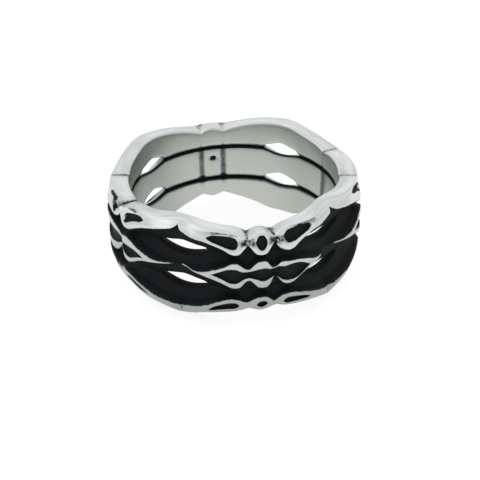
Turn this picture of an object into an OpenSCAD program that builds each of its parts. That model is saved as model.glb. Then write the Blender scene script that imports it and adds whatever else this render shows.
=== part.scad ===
// Pierced band ring of cast silver, lying on its side with the finger hole upright.
// It is one casting. Every cross-section round the ring has the same corners, and the
// tables below say how high each edge stands as the section walks from a bead over a
// teardrop to the crest between two motifs. All sizes are in millimetres.

/* [Finger hole] */
// Radius of the finger hole
finger_r = 9.4; // [8:0.05:11]
// Depth of the two grooves inside the finger hole
groove_deep = 0.3; // [0.1:0.05:0.4]
// Width of the two grooves inside the finger hole
groove_wide = 0.34; // [0.2:0.02:0.4]
// Height of each groove above or below the middle of the ring
groove_z = 1.73; // [1.6:0.01:1.8]
// Depth of the casting pock inside the finger hole at the back
pock_deep = 0.16; // [0:0.02:0.3]

/* [Band] */
// Wall from the finger hole to the face of the relief
relief_wall = 2.18; // [1.9:0.01:2.4]
// Wall from the finger hole to the outer corner of the top face
corner_wall = 1.68; // [1.5:0.01:1.8]
// Wall from the finger hole to the outer corner of the bottom face
low_corner_wall = 1.83; // [1.5:0.01:1.9]
// Wall left under a channel at a motif
channel_wall = 1.25; // [1:0.05:1.4]
// Wall left under a channel at a crest
slot_wall = 0.8; // [0.6:0.05:0.9]
// Bevel of the upper edge of the finger hole
top_round = 0.19; // [0.1:0.01:0.25]
// Bevel of the lower edge of the finger hole
edge_round = 0.11; // [0.05:0.01:0.15]
// Bevel of the outer corners of the top and bottom faces
corner_cut = 0.13; // [0.08:0.01:0.16]
// Width of the flats under the crests that the ring rests on
rest_wide = 0.36; // [0.2:0.02:0.4]
// Drop from the middle of the ring to the crests that it rests on
base_drop = 5.15; // [5.15:0.05:5.4]

/* [Relief] */
// Depth of the blackened pits in the rows
pit_deep = 0.34; // [0.1:0.02:0.45]
// How far the relief falls back in the valley beside a bead
valley_dip = 0.38; // [0.1:0.02:0.5]
// How far the upper and lower bands fall back at a crest
band_fall = 0.28; // [0:0.02:0.4]
// How far the middle ridge falls back at a crest
ridge_fall = 1.05; // [0.6:0.05:1.1]
// How far the notch between two motifs falls back at a front crest
notch_deep = 0.5; // [0:0.05:0.7]
// How far the wide beads at the sides stand out
side_bulge = 0.15; // [0:0.01:0.2]

/* [Slots] */
// Height of the slots, as a share of the height in their table
slot_share = 1; // [0.7:0.05:1]

/* [Hidden] */

// Walls from the finger hole to both ends of the leaning top face of a front crest
lean_in_wall = 0.58;
lean_out_wall = 1.02;
// The ridge stands a little higher than the bands
ridge_rise = 0.05;
// How far the outer corners of the top and the bottom face move out towards a crest
corner_rise = 0.15;
low_corner_rise = 0.05;
// A channel's floor follows this share of a valley's dip
floor_dip = 0.3;
// Share of a groove's width that its flat floor takes
groove_flat = 0.6;
// Least height between a band's edge and the outer corner above or below it
top_lip = 0.04;
bottom_lip = 0.08;
// Least gap that a raised sill leaves in a slot
sill_gap = 0.12;
// Casting pock: middle and half width in degrees, lower and upper edge of its floor, its slope
POCK_AT = 192.6;
POCK_HALF = 2.7;
POCK_LOW = 0.44;
POCK_HIGH = 0.7;
POCK_SLOPE = 0.08;

// Motifs: middle of the bead and half of its width, in degrees from the front and anticlockwise
// from above, then the kind of the half before and after the bead.
MOTIFS = [
    [11.15, 5.65, "front left", "front right"],
    [100.85, 14.65, "side", "side"],
    [193, 6.5, "back", "back"],
    [283.75, 14.55, "side", "side"]
];
// The crest after each motif: angle, share of the lean of its top, rise of the inner sills of its
// slots and drop of their upper edges, rise of the outer sills of its upper and lower slot on the
// back's side, lift of the outer edge over the wide bead by it and over the teardrop by that bead,
// and lift of the pit in that teardrop.
CRESTS = [
    [46.5, 1, 0.03, 0.30, 0, 0, 0, 0.42, 0.24],
    [150, 0, 0, 0, 0, 0, 0, 0, 0],
    [236, 0, 0, 0, 0.10, 0, 0, 0, 0],
    [335, 1, 0, 0, 0, 0, 0.28, 0.28, 0]
];

// The step s of a section is -1 in the middle of a bead, 0 in the valley beside it and 1 at a crest.
// EDGES columns: s, lower edge of the upper band, upper and lower edge of the middle ridge,
// upper edge of the lower band.
EDGES_FRONT_LEFT = [
    [-1, 2.10, 1.60, -1.08, -1.98],
    [-0.80, 2.12, 1.57, -1.05, -2.00],
    [-0.55, 2.20, 1.44, -0.88, -2.06],
    [-0.42, 2.32, 1.27, -0.72, -2.14],
    [-0.24, 2.63, 0.95, -0.50, -2.34],
    [-0.09, 2.80, 0.68, -0.46, -2.54],
    [0, 2.86, 0.64, -0.47, -2.64],
    [0.03, 2.76, 0.70, -0.50, -2.63],
    [0.07, 2.50, 0.92, -0.70, -2.52],
    [0.11, 2.26, 1.24, -0.92, -2.29],
    [0.17, 2.19, 1.53, -0.99, -2.11],
    [0.24, 2.32, 1.49, -0.90, -2.03],
    [0.31, 2.64, 1.22, -0.65, -2.09],
    [0.375, 2.88, 1.04, -0.42, -2.24],
    [0.44, 3.06, 0.90, -0.24, -2.40],
    [0.52, 3.25, 0.75, -0.02, -2.60],
    [0.62, 3.45, 0.55, 0.14, -2.84],
    [0.72, 3.53, 0.36, 0.24, -3.03],
    [0.80, 3.63, 0.32, 0.25, -3.12],
    [0.86, 3.86, 0.31, 0.25, -3.18],
    [0.93, 4.00, 0.31, 0.24, -3.27],
    [0.972, 4.15, 0.30, 0.24, -3.40],
    [1, 4.50, 0.29, 0.25, -3.76]
];
EDGES_FRONT_RIGHT = [
    [-1, 2.10, 1.60, -1.08, -1.98],
    [-0.78, 2.13, 1.55, -1.06, -2.00],
    [-0.60, 2.26, 1.36, -1.00, -2.08],
    [-0.46, 2.42, 1.08, -0.88, -2.22],
    [-0.30, 2.71, 0.80, -0.66, -2.46],
    [-0.11, 2.91, 0.62, -0.29, -2.74],
    [0, 2.94, 0.58, -0.26, -2.84],
    [0.04, 2.56, 0.70, -0.40, -2.62],
    [0.08, 2.30, 1.11, -0.80, -2.38],
    [0.13, 2.18, 1.20, -1.04, -2.16],
    [0.20, 2.11, 1.13, -1.12, -2.08],
    [0.27, 2.23, 1.10, -1.02, -2.12],
    [0.32, 2.49, 1.07, -0.80, -2.20],
    [0.365, 2.74, 1.03, -0.58, -2.32],
    [0.43, 2.96, 0.95, -0.34, -2.44],
    [0.52, 3.22, 0.79, -0.12, -2.60],
    [0.60, 3.38, 0.60, 0.04, -2.76],
    [0.69, 3.47, 0.42, 0.16, -2.92],
    [0.79, 3.67, 0.34, 0.22, -3.10],
    [0.86, 3.90, 0.32, 0.24, -3.20],
    [0.93, 4.02, 0.31, 0.24, -3.30],
    [0.972, 4.16, 0.30, 0.24, -3.43],
    [1, 4.50, 0.29, 0.25, -3.76]
];
EDGES_SIDE = [
    [-1, 2.62, 1.74, -1.56, -2.12],
    [-0.75, 2.60, 1.71, -1.54, -2.14],
    [-0.62, 2.48, 1.65, -1.51, -2.17],
    [-0.45, 2.30, 1.54, -1.44, -2.22],
    [-0.25, 2.22, 1.29, -1.26, -2.30],
    [-0.10, 2.40, 0.90, -0.86, -2.40],
    [0, 2.86, 0.72, -0.30, -2.50],
    [0.05, 2.72, 0.76, -0.34, -2.42],
    [0.10, 2.50, 0.98, -0.62, -2.37],
    [0.16, 2.30, 1.40, -1.04, -2.36],
    [0.24, 2.20, 1.46, -1.10, -2.40],
    [0.32, 2.40, 1.31, -0.84, -2.54],
    [0.42, 2.82, 1.02, -0.40, -2.70],
    [0.52, 3.14, 0.83, -0.04, -2.86],
    [0.65, 3.47, 0.51, 0.14, -3.10],
    [0.75, 3.64, 0.36, 0.23, -3.20],
    [0.85, 3.86, 0.31, 0.25, -3.30],
    [0.94, 4.02, 0.30, 0.25, -3.42],
    [0.975, 4.16, 0.30, 0.24, -3.50],
    [1, 4.50, 0.29, 0.25, -3.74]
];
// RIMS columns: s, inner and outer edge of the top face, outer and inner edge of the bottom face.
RIMS_FRONT_LEFT = [
    [-1, 3.78, 3.90, -3.62, -3.80],
    [-0.65, 3.74, 3.84, -3.56, -3.75],
    [-0.30, 3.60, 3.60, -3.42, -3.62],
    [0, 3.44, 3.42, -3.32, -3.50],
    [0.05, 3.60, 3.58, -3.38, -3.57],
    [0.10, 3.74, 3.74, -3.48, -3.68],
    [0.23, 3.94, 4.02, -3.61, -3.92],
    [0.42, 4.06, 4.16, -3.72, -4.32],
    [0.60, 4.24, 4.26, -3.84, -4.68],
    [0.75, 4.44, 4.38, -3.99, -4.98],
    [0.85, 4.56, 4.42, -4.09, -5.15],
    [1, 4.65, 4.54, -4.19, -5.15]
];
RIMS_FRONT_RIGHT = [
    [-1, 3.78, 3.90, -3.62, -3.80],
    [-0.65, 3.74, 3.84, -3.56, -3.75],
    [-0.30, 3.60, 3.58, -3.44, -3.62],
    [0, 3.46, 3.40, -3.34, -3.50],
    [0.05, 3.48, 3.50, -3.34, -3.55],
    [0.10, 3.57, 3.78, -3.48, -3.65],
    [0.23, 3.80, 4.08, -3.66, -3.92],
    [0.42, 3.93, 4.16, -3.80, -4.32],
    [0.60, 4.06, 4.14, -3.94, -4.68],
    [0.75, 4.24, 4.20, -4.06, -4.98],
    [0.85, 4.38, 4.27, -4.16, -5.15],
    [1, 4.59, 4.50, -4.30, -5.15]
];
RIMS_SIDE = [
    [-1, 3.86, 3.74, -3.68, -3.83],
    [-0.30, 3.78, 3.66, -3.56, -3.68],
    [0, 3.58, 3.58, -3.44, -3.53],
    [0.05, 3.70, 3.63, -3.50, -3.58],
    [0.10, 3.78, 3.68, -3.57, -3.68],
    [0.23, 3.95, 3.79, -3.78, -3.98],
    [0.42, 4.10, 3.97, -4.00, -4.42],
    [0.60, 4.30, 4.15, -4.08, -4.82],
    [0.75, 4.52, 4.38, -4.12, -5.10],
    [0.85, 4.63, 4.50, -4.16, -5.15],
    [1, 4.65, 4.54, -4.20, -5.15]
];
RIMS_BACK = [
    [-1, 3.92, 3.84, -3.68, -3.84],
    [-0.30, 3.76, 3.80, -3.50, -3.62],
    [0, 3.55, 3.74, -3.34, -3.50],
    [0.05, 3.66, 3.76, -3.42, -3.58],
    [0.10, 3.76, 3.80, -3.53, -3.70],
    [0.23, 4.00, 3.93, -3.66, -3.98],
    [0.42, 4.27, 4.18, -3.80, -4.34],
    [0.60, 4.46, 4.38, -3.94, -4.70],
    [0.75, 4.57, 4.48, -4.06, -5.02],
    [0.85, 4.64, 4.54, -4.16, -5.15],
    [1, 4.68, 4.57, -4.28, -5.15]
];
// PITS columns: s, then the middle height and half width of the pit in the upper band, in the
// middle ridge and in the lower band. A pit narrower than a rim's edge closes up.
PITS_FRONT_LEFT = [
    [-1, 3.13, 0.60, 0.24, 0.58, -2.86, 0.32],
    [-0.86, 3.13, 0.57, 0.24, 0.55, -2.87, 0.30],
    [-0.76, 3.13, 0.48, 0.26, 0.52, -2.88, 0.24],
    [-0.69, 3.13, 0.37, 0.27, 0.49, -2.89, 0.17],
    [-0.63, 3.13, 0.23, 0.29, 0.47, -2.90, 0.10],
    [-0.58, 3.13, 0, 0.30, 0.45, -2.92, 0],
    [-0.22, 3.12, 0, 0.20, 0.32, -3.00, 0],
    [0, 3.12, 0, 0.11, 0.29, -3.00, 0],
    [0.06, 3.12, 0, 0.14, 0.32, -3.00, 0],
    [0.135, 3.14, 0, 0.20, 0.53, -2.86, 0],
    [0.15, 3.14, 0.36, 0.21, 0.60, -2.86, 0.18],
    [0.17, 3.15, 0.44, 0.22, 0.66, -2.85, 0.28],
    [0.25, 3.26, 0.48, 0.26, 0.67, -2.86, 0.34],
    [0.32, 3.39, 0.42, 0.35, 0.50, -2.91, 0.31],
    [0.43, 3.57, 0.29, 0.40, 0.18, -3.04, 0.25],
    [0.52, 3.67, 0.20, 0.38, 0, -3.26, 0.19],
    [0.56, 3.70, 0, 0.36, 0, -3.36, 0],
    [1, 4.20, 0, 0.27, 0, -3.80, 0]
];
PITS_FRONT_RIGHT = [
    [-1, 3.13, 0.60, 0.24, 0.58, -2.86, 0.32],
    [-0.86, 3.13, 0.57, 0.24, 0.58, -2.86, 0.30],
    [-0.76, 3.13, 0.48, 0.24, 0.57, -2.85, 0.24],
    [-0.69, 3.13, 0.37, 0.24, 0.54, -2.84, 0.17],
    [-0.63, 3.13, 0.23, 0.23, 0.51, -2.84, 0.10],
    [-0.58, 3.13, 0, 0.22, 0.48, -2.86, 0],
    [-0.30, 3.12, 0, 0.20, 0.40, -3.00, 0],
    [0, 3.12, 0, 0.12, 0.34, -3.00, 0],
    [0.05, 3.12, 0, 0.08, 0.53, -3.05, 0],
    [0.14, 3.36, 0, -0.02, 0.68, -2.98, 0],
    [0.155, 3.36, 0.36, -0.01, 0.70, -2.98, 0.22],
    [0.18, 3.37, 0.50, 0.01, 0.72, -2.98, 0.31],
    [0.22, 3.40, 0.55, 0.03, 0.75, -2.98, 0.32],
    [0.29, 3.50, 0.54, 0.05, 0.73, -3.02, 0.30],
    [0.36, 3.62, 0.44, 0.10, 0.62, -3.07, 0.27],
    [0.44, 3.72, 0.33, 0.16, 0.34, -3.14, 0.22],
    [0.53, 3.74, 0.20, 0.22, 0, -3.26, 0.15],
    [0.60, 3.78, 0, 0.24, 0, -3.36, 0],
    [1, 4.20, 0, 0.27, 0, -3.85, 0]
];
PITS_SIDE = [
    [-1, 3.30, 0, 0.08, 0.86, -3.00, 0.26],
    [-0.50, 3.26, 0, 0.12, 0.72, -3.00, 0.18],
    [-0.43, 3.26, 0.56, 0.15, 0.67, -3.00, 0.06],
    [-0.36, 3.27, 0.66, 0.15, 0.64, -3.00, 0],
    [-0.28, 3.32, 0.54, 0.15, 0.60, -3.00, 0],
    [-0.19, 3.38, 0.22, 0.13, 0.55, -3.00, 0],
    [-0.13, 3.40, 0, 0.11, 0.46, -3.00, 0],
    [0, 2.95, 0, 0.12, 0.24, -3.05, 0],
    [0.10, 2.84, 0, 0.03, 0.36, -3.05, 0],
    [0.15, 2.90, 0, 0.03, 0.42, -3.06, 0.10],
    [0.17, 2.97, 0.42, 0.03, 0.46, -3.08, 0.15],
    [0.20, 3.06, 0.44, 0.02, 0.51, -3.11, 0.22],
    [0.25, 3.24, 0.38, 0.02, 0.54, -3.15, 0.24],
    [0.32, 3.46, 0.32, 0.10, 0.49, -3.22, 0.24],
    [0.42, 3.70, 0.26, 0.28, 0.26, -3.34, 0.19],
    [0.49, 3.77, 0.24, 0.28, 0.06, -3.41, 0.12],
    [0.535, 3.80, 0, 0.28, 0, -3.48, 0],
    [1, 4.20, 0, 0.27, 0, -3.85, 0]
];

function edges_of(kind) = kind == "front right" ? EDGES_FRONT_RIGHT
    : kind == "side" ? EDGES_SIDE
    : EDGES_FRONT_LEFT;
function rims_of(kind) = kind == "front right" ? RIMS_FRONT_RIGHT
    : kind == "side" ? RIMS_SIDE
    : kind == "back" ? RIMS_BACK
    : RIMS_FRONT_LEFT;
function pits_of(kind) = kind == "front right" ? PITS_FRONT_RIGHT
    : kind == "side" ? PITS_SIDE
    : PITS_FRONT_LEFT;
// Value of one column of a table at step s
function at(table, column, s) = lookup(s, [for (row = table) [row[0], row[column]]]);

// How the shape changes with s: dip of the relief in the valleys, fall of the bands, the ridge and
// the channels' floors towards a crest, rise of the bottom's outer edge off the table, lean of a
// front crest's top and its notch, and on the side motifs the bulge of the bead, the extra bulge
// of the lower band and the lift of the top's outer edge.
VALLEY = [[-1, 0], [-0.65, 0.06], [-0.3, 0.4], [0, 1], [0.05, 0.75], [0.1, 0.35], [0.16, 0.05],
    [0.23, 0], [1, 0]];
BAND_FALL = [[0.6, 0], [0.9, 0.6], [1, 1]];
RIDGE_FALL = [[0.55, 0], [0.65, 0.1], [0.79, 0.4], [0.9, 0.82], [1, 1]];
CHANNEL_FALL = [[0, 0], [0.35, 0.35], [0.6, 1], [1, 1]];
REST_SLOPE = [[0, 0.16], [0.7, 0.16], [0.86, 0], [1, 0]];
LEAN = [[0.5, 0], [0.62, 0.12], [0.8, 0.58], [0.94, 0.94], [1, 1]];
NOTCH = [[0.93, 0], [0.975, 0.3], [1, 1]];
BEAD_BULGE = [[-1, 1], [0, 1], [0.25, 0], [1, 0]];
LOW_SWELL = [[-1, 0.10], [-0.3, 0.12], [0, 0.14], [0.1, 0.10], [0.2, 0], [1, 0]];
LIFT = [[-1, 0], [-0.65, 0.8], [-0.3, 1], [0, 0], [0.1, 0.5], [0.25, 1], [0.5, 1], [0.8, 0], [1, 0]];

// From a crest (0) to a slot's end (1): upper edge of the upper slot, its lower edge outside and
// inside, and the same three of the lower slot. Past its end only the inner groove is left.
SLOT_EDGES = [
    [0, 2.50, 1.00, 1.27, -0.82, -2.38, -2.13],
    [0.25, 2.41, 1.07, 1.30, -0.91, -2.32, -2.10],
    [0.50, 2.26, 1.24, 1.39, -1.06, -2.18, -2.02],
    [0.75, 2.17, 1.46, 1.51, -1.21, -2.01, -1.90],
    [0.92, 2.10, 1.62, 1.59, -1.39, -1.88, -1.84],
    [1, 1.80, 1.70, 1.63, -1.63, -1.78, -1.83]
];
// Share of the raised outer sills from a crest to a slot's end
SILL_RISE = [[0, 0], [0.42, 1], [1, 1]];

// A slot's ends lie at this step, and it is open from there over the crest to the next motif
function slot_end(kind) = kind == "side" ? 0.64 : kind == "back" ? 0.70 : 0.58;
// Steps of the sections of one half of a motif, closer together where the relief turns
function steps(end) = [
    -1, -0.80, -0.62, -0.36, -0.15, 0, 0.06, 0.12, 0.18, 0.25, 0.33, 0.43, end - 0.07, end,
    1 - 0.75 * (1 - end), 1 - 0.42 * (1 - end), 1 - 0.12 * (1 - end), 1
];
LAST_STEP = len(steps(0.6)) - 1;
SLOT_STEP = 13;

// Each section: angle, step, kind, number of the step and crest. A motif gives the sections from
// the crest before it to the last one short of the next crest.
function half_sections(bead, valley, crest_angle, crest, kind, numbers) = [
    for (i = numbers)
        let (s = steps(slot_end(kind))[i])
        [s < 0 ? valley - s * (bead - valley) : valley + s * (crest_angle - valley), s, kind, i, crest]
];
MOTIF_COUNT = len(MOTIFS);
SECTIONS = [
    for (m = [0 : MOTIF_COUNT - 1])
        let (motif = MOTIFS[m])
        let (last = CRESTS[(m + MOTIF_COUNT - 1) % MOTIF_COUNT])
        let (last_angle = last[0] - (m == 0 ? 360 : 0))
        each concat(
            half_sections(motif[0], motif[0] - motif[1], last_angle, last, motif[2],
                [LAST_STEP : -1 : 0]),
            half_sections(motif[0], motif[0] + motif[1], CRESTS[m][0], CRESTS[m], motif[3],
                [1 : LAST_STEP - 1])
        )
];
SECTION_COUNT = len(SECTIONS);

function along(a, b, f) = a + (b - a) * f;

// The four corners of a pit in a row's face, which runs from its upper to its lower edge.
// The pit stays clear of both edges by a rim, and where there is no room it closes up.
rim = 0.07;
closed_pit = 0.012;
full_pit = 0.14;
pit_slope = 0.07;
pit_slope_share = 0.3;
function pit(up, up_r, low, low_r, wanted_mid, wanted_half) =
    let (room = max(0, min(wanted_half, (up - low) / 2 - rim)))
    let (half = max(room, closed_pit))
    let (mid = up - low < 2 * (half + rim) ? (up + low) / 2
        : min(max(wanted_mid, low + half + rim), up - half - rim))
    let (sink = pit_deep * min(1, room / full_pit))
    let (slope = min(pit_slope, half * pit_slope_share))
    [
        for (row = [[half, 0], [half - slope, sink], [slope - half, sink], [-half, 0]])
            let (z = mid + row[0])
            [along(up_r, low_r, (up - z) / max(up - low, closed_pit)) - row[1], z]
    ];

// The corner where the steep part of a channel's wall ends and its foot begins
foot_rise = 0.06;
foot_out = 0.35;
foot_in = 0.3;
function wall_foot(edge_r, edge_z, floor_r, floor_z) =
    [max(floor_r + foot_rise, along(floor_r, edge_r, foot_out)), along(edge_z, floor_z, foot_in)];

// The corners of a section as radius and height: up the finger hole, out over the top face,
// down the outside over the three rows, and back under the ring.
function section(angle, s, kind, crest) =
    let (edge = edges_of(kind))
    let (face = rims_of(kind))
    let (pits = pits_of(kind))
    let (side = kind == "side" ? 1 : 0)
    let (lift = side * lookup(s, LIFT))
    let (top_in = at(face, 1, s))
    let (top_out = at(face, 2, s) + lift * (s < 0 ? crest[6] : crest[7]))
    let (bottom_out = at(face, 3, s))
    let (bottom_in = at(face, 4, s))
    let (a_low = min(at(edge, 1, s), top_out - corner_cut - top_lip))
    let (b_up = at(edge, 2, s))
    let (b_low = at(edge, 3, s))
    let (c_up = max(at(edge, 4, s), bottom_out + corner_cut + bottom_lip))
    let (dip = valley_dip * lookup(s, VALLEY))
    let (fall = lookup(s, BAND_FALL))
    let (lean = crest[1] * lookup(s, LEAN))
    let (bulge = side * side_bulge * lookup(s, BEAD_BULGE))
    let (swell = side * lookup(s, LOW_SWELL))
    let (notch = notch_deep * crest[1] * lookup(s, NOTCH))
    let (band_r = finger_r + relief_wall - dip - band_fall * fall - notch)
    let (low_band_r = band_r + swell)
    let (ridge_r = finger_r + relief_wall + ridge_rise - dip - ridge_fall * lookup(s, RIDGE_FALL))
    let (full_corner_r = finger_r + corner_wall + bulge + corner_rise * fall)
    let (top_r = along(full_corner_r - corner_cut, finger_r + lean_in_wall, lean))
    let (corner_r = along(full_corner_r, finger_r + lean_out_wall, lean))
    let (low_corner_r = finger_r + low_corner_wall + swell + low_corner_rise * fall)
    let (floor_wall = along(channel_wall, slot_wall, lookup(s, CHANNEL_FALL)))
    let (floor_r = finger_r + floor_wall - dip * floor_dip)
    let (groove_r = finger_r + groove_deep)
    let (flat = groove_flat * groove_wide / 2)
    let (slope = (1 - groove_flat) * groove_wide / 2)
    let (u = min(1, (1 - s) / (1 - slot_end(kind))))
    let (sill = crest[2] * (1 - u))
    let (lid = crest[3] * (1 - u))
    let (rise = kind == "back" ? lookup(u, SILL_RISE) : 0)
    let (edge_z = [for (k = [1 : 6])
        let (line = k < 4 ? groove_z : -groove_z)
        line + (at(SLOT_EDGES, k, u) - line) * slot_share])
    let (up_lip = edge_z[0] - lid)
    let (low_lip = edge_z[3] - lid)
    let (up_1 = u == 1 ? groove_z + flat : up_lip)
    let (up_out = min(edge_z[1] + crest[4] * rise, up_lip - (rise > 0 ? sill_gap : 0)))
    let (up_0 = u == 1 ? groove_z - flat : edge_z[2] + sill)
    let (low_1 = u == 1 ? flat - groove_z : low_lip)
    let (low_out = min(edge_z[4] + crest[5] * rise, low_lip - (rise > 0 ? sill_gap : 0)))
    let (low_0 = u == 1 ? -groove_z - flat : edge_z[5] + sill)
    let (pock = pock_deep * pow(max(0, 1 - abs(angle - POCK_AT) / POCK_HALF), 0.5))
    concat(
        [
            [finger_r, bottom_in + edge_round],
            [finger_r, low_0 - slope],
            [groove_r, low_0],
            [groove_r, low_1],
            [finger_r, low_1 + slope],
            [finger_r, POCK_LOW - POCK_SLOPE],
            [finger_r + pock, POCK_LOW],
            [finger_r + pock, POCK_HIGH],
            [finger_r, POCK_HIGH + POCK_SLOPE],
            [finger_r, up_0 - slope],
            [groove_r, up_0],
            [groove_r, up_1],
            [finger_r, up_1 + slope],
            [finger_r, top_in - top_round],
            [finger_r + top_round, top_in],
            [top_r, top_out],
            [corner_r, top_out - corner_cut]
        ],
        pit(top_out - corner_cut, corner_r, a_low, band_r,
            at(pits, 1, s) + lift * crest[8], at(pits, 2, s)),
        [
            [band_r, a_low],
            wall_foot(band_r, a_low, floor_r, up_lip),
            [floor_r, up_lip],
            [floor_r, up_out],
            wall_foot(ridge_r, b_up, floor_r, up_out),
            [ridge_r, b_up]
        ],
        pit(b_up, ridge_r, b_low, ridge_r, at(pits, 3, s), at(pits, 4, s)),
        [
            [ridge_r, b_low],
            wall_foot(ridge_r, b_low, floor_r, low_lip),
            [floor_r, low_lip],
            [floor_r, low_out],
            wall_foot(low_band_r, c_up, floor_r, low_out),
            [low_band_r, c_up]
        ],
        pit(c_up, low_band_r, bottom_out + corner_cut, low_corner_r, at(pits, 5, s), at(pits, 6, s)),
        [
            [low_corner_r, bottom_out + corner_cut],
            [low_corner_r - corner_cut, bottom_out],
            [finger_r + rest_wide, along(bottom_in, bottom_out, lookup(s, REST_SLOPE))],
            [finger_r + edge_round, bottom_in]
        ]
    );

CORNERS = [for (part = SECTIONS) section(part[0], part[1], part[2], part[4])];
CORNER_COUNT = len(CORNERS[0]);
POINTS = [
    for (i = [0 : SECTION_COUNT - 1])
        let (angle = SECTIONS[i][0] - 90)
        each [for (c = CORNERS[i]) [c[0] * cos(angle), c[0] * sin(angle), c[1] + base_drop]]
];

// A slot takes out the strip of the groove's floor and the strip of the channel's floor over it.
// Each row names the first corner of both strips.
SLOTS = [[2, 33], [10, 23]];
function corner(i, j) = (i % SECTION_COUNT) * CORNER_COUNT + j % CORNER_COUNT;
function is_open(i) = SECTIONS[i % SECTION_COUNT][3] >= SLOT_STEP
    && SECTIONS[(i + 1) % SECTION_COUNT][3] >= SLOT_STEP;
function is_slot_strip(j) = len([for (slot = SLOTS) if (j == slot[0] || j == slot[1]) j]) > 0;
// Two triangles between corners j and k of a section and of the next one
function strip(i, j, k) = [
    [corner(i, j), corner(i + 1, j), corner(i + 1, k)],
    [corner(i, j), corner(i + 1, k), corner(i, k)]
];
// Two triangles that close a slot's end at section i, seen from inside the slot
function slot_cap(i, slot, starts) =
    let (a = corner(i, slot[1]))
    let (b = corner(i, slot[0] + 1))
    let (c = corner(i, slot[0]))
    let (d = corner(i, slot[1] + 1))
    starts ? [[a, b, c], [a, c, d]] : [[c, b, a], [d, c, a]];
FACES = [
    for (i = [0 : SECTION_COUNT - 1])
        let (open = is_open(i))
        let (open_before = is_open(i + SECTION_COUNT - 1))
        each concat(
            [for (j = [0 : CORNER_COUNT - 1]) if (!(open && is_slot_strip(j))) each strip(i, j, j + 1)],
            [for (slot = SLOTS) if (open) each strip(i, slot[1], slot[0] + 1)],
            [for (slot = SLOTS) if (open) each strip(i, slot[0], slot[1] + 1)],
            [for (slot = SLOTS) if (open != open_before) each slot_cap(i, slot, open)]
        )
];

module ring_band() {
    color("silver")
        polyhedron(points = POINTS, faces = FACES, convexity = 12);
}

ring_band();
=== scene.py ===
import bisect
import math

import bpy
import numpy as np
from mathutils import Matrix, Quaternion, Vector


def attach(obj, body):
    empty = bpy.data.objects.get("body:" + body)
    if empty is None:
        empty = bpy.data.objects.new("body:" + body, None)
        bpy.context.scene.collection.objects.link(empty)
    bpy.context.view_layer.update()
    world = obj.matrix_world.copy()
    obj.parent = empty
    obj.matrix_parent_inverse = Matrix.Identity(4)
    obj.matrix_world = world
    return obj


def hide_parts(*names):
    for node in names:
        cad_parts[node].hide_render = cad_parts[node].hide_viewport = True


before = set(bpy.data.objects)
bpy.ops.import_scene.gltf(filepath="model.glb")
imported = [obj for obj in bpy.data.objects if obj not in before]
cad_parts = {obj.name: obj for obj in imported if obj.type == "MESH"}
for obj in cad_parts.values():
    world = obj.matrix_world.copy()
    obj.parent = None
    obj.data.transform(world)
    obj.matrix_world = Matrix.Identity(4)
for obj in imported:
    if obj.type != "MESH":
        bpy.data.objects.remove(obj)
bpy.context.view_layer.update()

# The stage that the ring lies on: a white paper floor under a bright, even sky, with three soft
# boxes, and the camera where the photograph was taken from. Lengths are in metres, and MM turns
# millimetres into them.
MM = 0.001
RING_MIDDLE = 5.15 * MM
VIEW_ELEVATION = math.radians(30.17)
VIEW_DISTANCE = 81.45 * MM
VIEW_ROLL = math.radians(-1.09)

bpy.ops.object.select_all(action="DESELECT")
bpy.ops.object.camera_add()
camera = bpy.context.object
camera.name = "camera"
camera.data.sensor_width = 36
camera.data.lens = 65.876
camera.data.shift_x = 0.0120
camera.data.shift_y = -0.0669
camera.data.clip_start = 1 * MM
towards_camera = Vector((0, -math.cos(VIEW_ELEVATION), math.sin(VIEW_ELEVATION)))
camera.location = Vector((0, 0, RING_MIDDLE)) + VIEW_DISTANCE * towards_camera
camera.rotation_mode = "QUATERNION"
camera.rotation_quaternion = (-towards_camera).to_track_quat("-Z", "Y") @ Quaternion(
    (0, 0, 1), VIEW_ROLL
)
bpy.context.scene.camera = camera
bpy.context.scene.view_settings.view_transform = "Standard"

FLOOR_WIDE = 1.6
PAPER_GREY = 0.25
PAPER_GLOW = 0.83
SKY_GLOW = 0.93

bpy.ops.object.select_all(action="DESELECT")
bpy.ops.mesh.primitive_plane_add(size=FLOOR_WIDE)
floor = bpy.context.object
floor.name = "floor"
paper = bpy.data.materials.new("white_paper")
paper.use_nodes = True
paper_shader = paper.node_tree.nodes["Principled BSDF"]
paper_shader.inputs["Base Color"].default_value = (PAPER_GREY, PAPER_GREY, PAPER_GREY, 1)
paper_shader.inputs["Emission Color"].default_value = (1, 1, 1, 1)
paper_shader.inputs["Emission Strength"].default_value = PAPER_GLOW
paper_shader.inputs["Roughness"].default_value = 0.9
paper_shader.inputs["Specular IOR Level"].default_value = 0.1
floor.data.materials.append(paper)

sky = bpy.data.worlds.new("sky")
sky.use_nodes = True
sky.node_tree.nodes["Background"].inputs["Color"].default_value = (1, 1, 1, 1)
sky.node_tree.nodes["Background"].inputs["Strength"].default_value = SKY_GLOW
bpy.context.scene.world = sky


def soft_box(name, place, width, height, watts):
    """A rectangular soft light that faces the ring."""
    bpy.ops.object.select_all(action="DESELECT")
    bpy.ops.object.light_add(type="AREA", location=place)
    lamp = bpy.context.object
    lamp.name = name
    lamp.data.shape = "RECTANGLE"
    lamp.data.size = width
    lamp.data.size_y = height
    lamp.data.energy = watts
    lamp.rotation_euler = (Vector((0, 0, RING_MIDDLE)) - Vector(place)).to_track_quat(
        "-Z", "Y"
    ).to_euler()


soft_box("top_light", (-0.16, 0.00, 0.22), 0.2, 0.2, 0.06)
soft_box("front_light", (0.12, -0.24, 0.16), 0.12, 0.12, 0.012)
soft_box("back_light", (0, 0.27, 0.16), 0.24, 0.2, 0.024)


# The ring: a wide band for a finger, cast in one piece of silver with three rows of relief, the
# upper band, the ridge and the lower band. Slots are cut through the two channels between them.
# It was blackened all over, and then its rims and its finger hole were polished bright again.

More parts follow.
